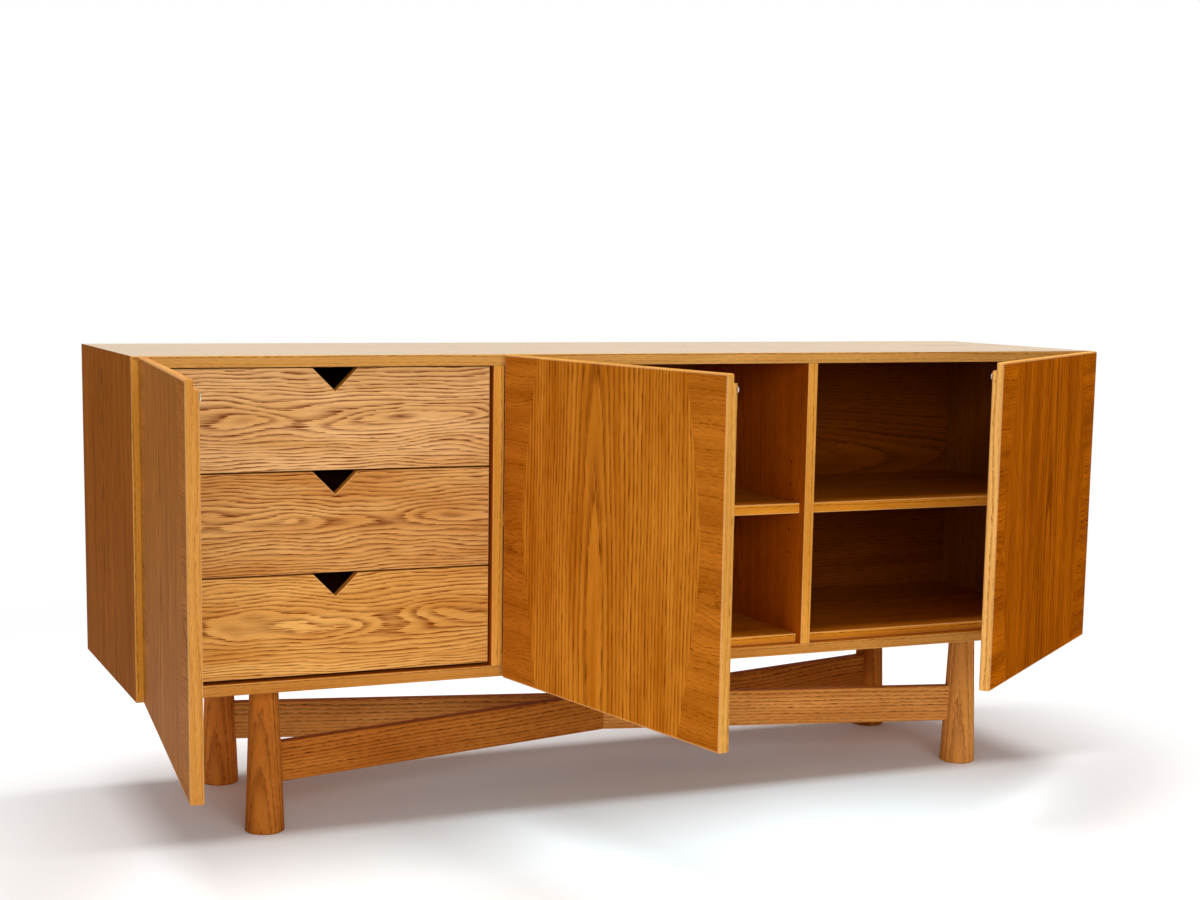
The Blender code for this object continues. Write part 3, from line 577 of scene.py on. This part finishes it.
# Dividers, shelves, bottom and back take the painted-shade copies of the oak
for board, turn, shades, lipping, seed in (
        ("bottom_panel", LEVEL, SHELF_PAINTED_SHADE, LIPPING_DEEP, 1.2),
        ("side_panel_left", UPRIGHT_SIDE, SIDES_PAINTED_SHADE, LIPPING, 1.3),
        ("side_panel_right", UPRIGHT_SIDE, SIDES_PAINTED_SHADE, LIPPING, 1.4),
        ("divider_left", UPRIGHT_SIDE, INNER_PAINTED_SHADE, LIPPING, 1.5),
        ("divider_right", UPRIGHT_SIDE, INNER_PAINTED_SHADE, LIPPING, 1.6),
        ("drawer_liner", UPRIGHT_SIDE, INNER_PAINTED_SHADE, LIPPING, 1.7),
        ("back_panel", UPRIGHT_FRONT, BACK_PAINTED_SHADE, BACK_PAINTED_SHADE, 1.8),
        ("shelf_middle", LEVEL, SHELF_PAINTED_SHADE, LIPPING_ORANGE, 1.9),
        ("shelf_right", LEVEL, SHELF_PAINTED_SHADE, LIPPING_ORANGE, 2.1),
        ("base_board_middle", LEVEL, SHELF_PAINTED_SHADE, LIPPING_ORANGE, 2.2),
        ("base_board_right", LEVEL, SHELF_PAINTED_SHADE, LIPPING_ORANGE, 2.3)):
    low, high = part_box(board)
    half = Euler(turn).to_matrix().inverted() @ ((high - low) * HALF_SIZE)
    dress(board, oak_board(f"satin lacquered oak, {board}", middle(board), turn, PANEL_FIGURE,
                           shades, seed, lipping, drilled=[abs(reach) for reach in half]))

# The top is glossier than the rest, and mirrors the pale room at a low angle; its ground is also
# yellower than the doors' amber, a painted reflection of that pale room
dress("top_panel", oak_board("satin lacquered oak, top_panel", middle("top_panel"), LEVEL,
                             PANEL_FIGURE, AMBER_TOP_PAINTED_REFLECTION, 1.1, LIPPING_TOP, gloss=0.22,
                             roughness=0.2, tint="#fae2b4"))

# Drawers

for number in (1, 2, 3):
    front = f"drawer_{number}_front"
    dress(front, oak_board(f"satin lacquered oak, {front}", middle(front), UPRIGHT_FRONT,
                           DRAWER_FIGURE, HONEY[number - 1], seed=3.0 + number * 0.7,
                           lipping=LIPPING))
    base = f"drawer_{number}_base"
    dress(base, oak_board(f"satin lacquered oak, {base}", middle(base), LEVEL, PANEL_FIGURE,
                          SHELF_PAINTED_SHADE, seed=6.0 + number * 0.4, lipping=SHELF_PAINTED_SHADE))
    box = f"drawer_{number}_box"
    dress(box, drawer_box_oak(box, seed=7.0 + number * 0.6))

# Doors

# The left and right doors wear darker copies of the amber oak: painted shade
dress("door_left", veneered_door("left", LEFT_DOOR_PAINTED_SHADE, LEFT_DOOR_PAINTED_SHADE, LIPPING_DEEP, seed=9.1, gloss=0.006))
dress("door_middle", veneered_door("middle", AMBER, AMBER_BAND, LIPPING_WARM, seed=9.7))
dress("door_right", veneered_door("right", RIGHT_DOOR_PAINTED_SHADE, RIGHT_DOOR_PAINTED_SHADE, LIPPING_PALE, seed=10.2))

# Base: turned legs and the two crossed rails

# Some legs and a rail take a paler copy of the same oak: painted light
for corner, shades, seed in (
        ("front_left", CHESTNUT, 12.0), ("front_right", CHESTNUT_PAINTED_LIGHT, 12.7),
        ("back_left", CHESTNUT_PAINTED_LIGHT_WARM, 13.4), ("back_right", CHESTNUT, 14.1)):
    leg = f"leg_{corner}"
    dress(leg, oak_board(f"turned oak, {leg}", middle(leg), UPRIGHT_SIDE, SOLID_FIGURE, shades,
                         seed))
for rail, lean, shades in (
        ("rail_front_left", 1, CHESTNUT), ("rail_front_right", -1, CHESTNUT_PAINTED_LIGHT)):
    low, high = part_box(rail)
    angle = lean * math.atan2(high.y - low.y, high.x - low.x)
    dress(rail, oak_board(f"planed oak, {rail}", middle(rail), (math.pi / 2, 0.0, angle),
                          SOLID_FIGURE, shades, seed=15.0 + lean * 0.6))

# Hinges, shelf pins, runners and bumpers

nickel = plated_steel("nickel-plated steel", "#c9c6be", 0.28)
zinc = plated_steel("zinc-plated steel", "#b9bbbd", 0.38)
silicone = clear_silicone()
for name in frame["nodes"]:
    if name.startswith(("hinge_", "shelf_pin_")):
        dress(name, nickel)
    elif name.startswith("runner_"):
        dress(name, zinc)
    elif name.startswith("bumper_"):
        dress(name, silicone)

# Screws: pan heads on the hinges' plates and cups, and on the flanges of the runners

bright_zinc = plated_steel("bright zinc-plated steel", "#cfd0cf", 0.26)


def screw_heads(name, body, places, facing, head):
    """Pan heads with a cross recess, one at each place, looking out of the metal."""
    width, height = head
    shape = bmesh.new()
    turn = Vector(facing).to_track_quat("Z", "Y").to_matrix().to_4x4()
    for place in places:
        stand = Matrix.Translation(place) @ turn
        rings = []
        for step in range(HEAD_RINGS, 0, -1):
            reach = step / HEAD_RINGS
            ring = []
            for part in range(HEAD_PARTS):
                angle = math.tau * part / HEAD_PARTS
                across, up = reach * math.cos(angle), reach * math.sin(angle)
                rise = height * math.sqrt(1.0 - reach ** 3)
                if reach < CROSS_REACH and min(abs(across), abs(up)) < CROSS_HALF:
                    rise -= CROSS_SINK * height
                point = Vector((across * width / 2, up * width / 2, rise))
                ring.append(shape.verts.new(stand @ point))
            rings.append(ring)
        for outer, inner in zip(rings, rings[1:]):
            for part in range(HEAD_PARTS):
                after = (part + 1) % HEAD_PARTS
                shape.faces.new((outer[part], outer[after], inner[after], inner[part]))
        shape.faces.new(rings[-1])
    for face in shape.faces:
        face.smooth = True
    mesh = bpy.data.meshes.new(name)
    shape.to_mesh(mesh)
    shape.free()
    mesh.materials.append(bright_zinc)
    heads = bpy.data.objects.new(name, mesh)
    bpy.context.scene.collection.objects.link(heads)
    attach(heads, body)


for door, side in (("left", 1), ("middle", 1), ("right", -1)):
    plate_places, cup_places = [], []
    hinge = hinge_of(door)
    swing = Matrix.Rotation(side * math.radians(hinge["range_deg"][0]), 4, "Z")
    for level in ("lower", "upper"):
        low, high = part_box(f"hinge_arm_{door}_{level}")
        face = low.x + PLATE_METAL if side > 0 else high.x - PLATE_METAL
        cup = swing @ Vector((side * CUP_FROM_AXIS, FLANGE_FACE, 0.0))
        cup += Vector(hinge["pos_m"])
        for way in (-1, 1):
            plate_places.append((face, high.y - PLATE_SCREW_FROM_BACK,
                                 (low.z + high.z) / 2 + way * PLATE_SCREW_RISE))
            cup_places.append((cup.x, cup.y, (low.z + high.z) / 2 + way * CUP_SCREW_RISE))
    screw_heads(f"plate_screws_{door}", "cabinet_body", plate_places, (side, 0.0, 0.0),
                PLATE_HEAD)
    screw_heads(f"cup_screws_{door}", f"{door}_door", cup_places,
                swing.to_3x3() @ Vector((0.0, 1.0, 0.0)), CUP_HEAD)
for number in (1, 2, 3):
    for edge, inwards in (("left", 1), ("right", -1)):
        low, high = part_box(f"runner_{number}_{edge}")
        face = low.x + RUNNER_METAL if inwards > 0 else high.x - RUNNER_METAL
        places = [(face, low.y + along, low.z + RUNNER_SCREW_RISE) for along in RUNNER_SCREWS]
        screw_heads(f"runner_screws_{number}_{edge}", "cabinet_body", places,
                    (inwards, 0.0, 0.0), RUNNER_HEAD)

# Floor

floor_mesh = bpy.data.meshes.new("floor")
floor_shape = bmesh.new()
bmesh.ops.create_grid(floor_shape, x_segments=1, y_segments=1, size=FLOOR_REACH)
floor_shape.to_mesh(floor_mesh)
floor_shape.free()
floor_mesh.materials.append(white_paper())
floor = bpy.data.objects.new("floor", floor_mesh)
bpy.context.scene.collection.objects.link(floor)

# World: white where it is seen or mirrored, and a dimmer fill on the cabinet

world = bpy.data.worlds.new("studio")
bpy.context.scene.world = world
world.use_nodes = True
world_tree = world.node_tree
world_path = node(world_tree, "ShaderNodeLightPath", {})
world_seen = node(world_tree, "ShaderNodeMath", {
    0: world_path.outputs["Is Camera Ray"], 1: world_path.outputs["Is Glossy Ray"]},
    operation="MAXIMUM")
world_seen = node(world_tree, "ShaderNodeMath", {
    0: world_seen.outputs[0], 1: world_path.outputs["Is Transmission Ray"]}, operation="MAXIMUM")
world_level = node(world_tree, "ShaderNodeMapRange", {
    0: world_seen.outputs[0], 3: FILL_LEVEL, 4: 1.0})
background = world_tree.nodes["Background"]
background.inputs["Color"].default_value = (1.0, 1.0, 1.0, 1.0)
world_tree.links.new(world_level.outputs[0], background.inputs["Strength"])

# Lamps


def softbox(name, place, aim, size, power):
    """A soft lamp of a given width and height, turned to a point; lacquer doesn't mirror it."""
    lamp = bpy.data.lights.new(name, "AREA")
    lamp.shape = "RECTANGLE"
    lamp.size, lamp.size_y = size
    lamp.energy = power
    holder = bpy.data.objects.new(name, lamp)
    bpy.context.scene.collection.objects.link(holder)
    holder.location = place
    holder.rotation_euler = (Vector(aim) - Vector(place)).to_track_quat("-Z", "Y").to_euler()
    holder.visible_glossy = False


softbox("top softbox", place=(0.1, 0.25, 4.3), aim=(0.1, 0.25, 0.0), size=(5.0, 2.2),
        power=235.0)
softbox("front softbox", place=(-0.9, -4.1, 1.7), aim=(0.1, 0.1, 0.5), size=(3.4, 1.3),
        power=90.0)

# Camera

camera = bpy.data.cameras.new("camera")
camera.sensor_width = CAMERA_FILM
camera.lens = CAMERA_LENS
camera.shift_x, camera.shift_y = CAMERA_SHIFT
camera.clip_end = CAMERA_REACH
tripod = bpy.data.objects.new("camera", camera)
bpy.context.scene.collection.objects.link(tripod)
look = (Matrix.Rotation(CAMERA_PAN, 4, "Z") @ Matrix.Rotation(CAMERA_TILT, 4, "X")
        @ Matrix.Rotation(CAMERA_ROLL, 4, "Y") @ Matrix.Rotation(math.pi / 2, 4, "X"))
tripod.matrix_world = Matrix.Translation(CAMERA_PLACE) @ look
bpy.context.scene.camera = tripod
bpy.context.scene.view_settings.view_transform = "Standard"
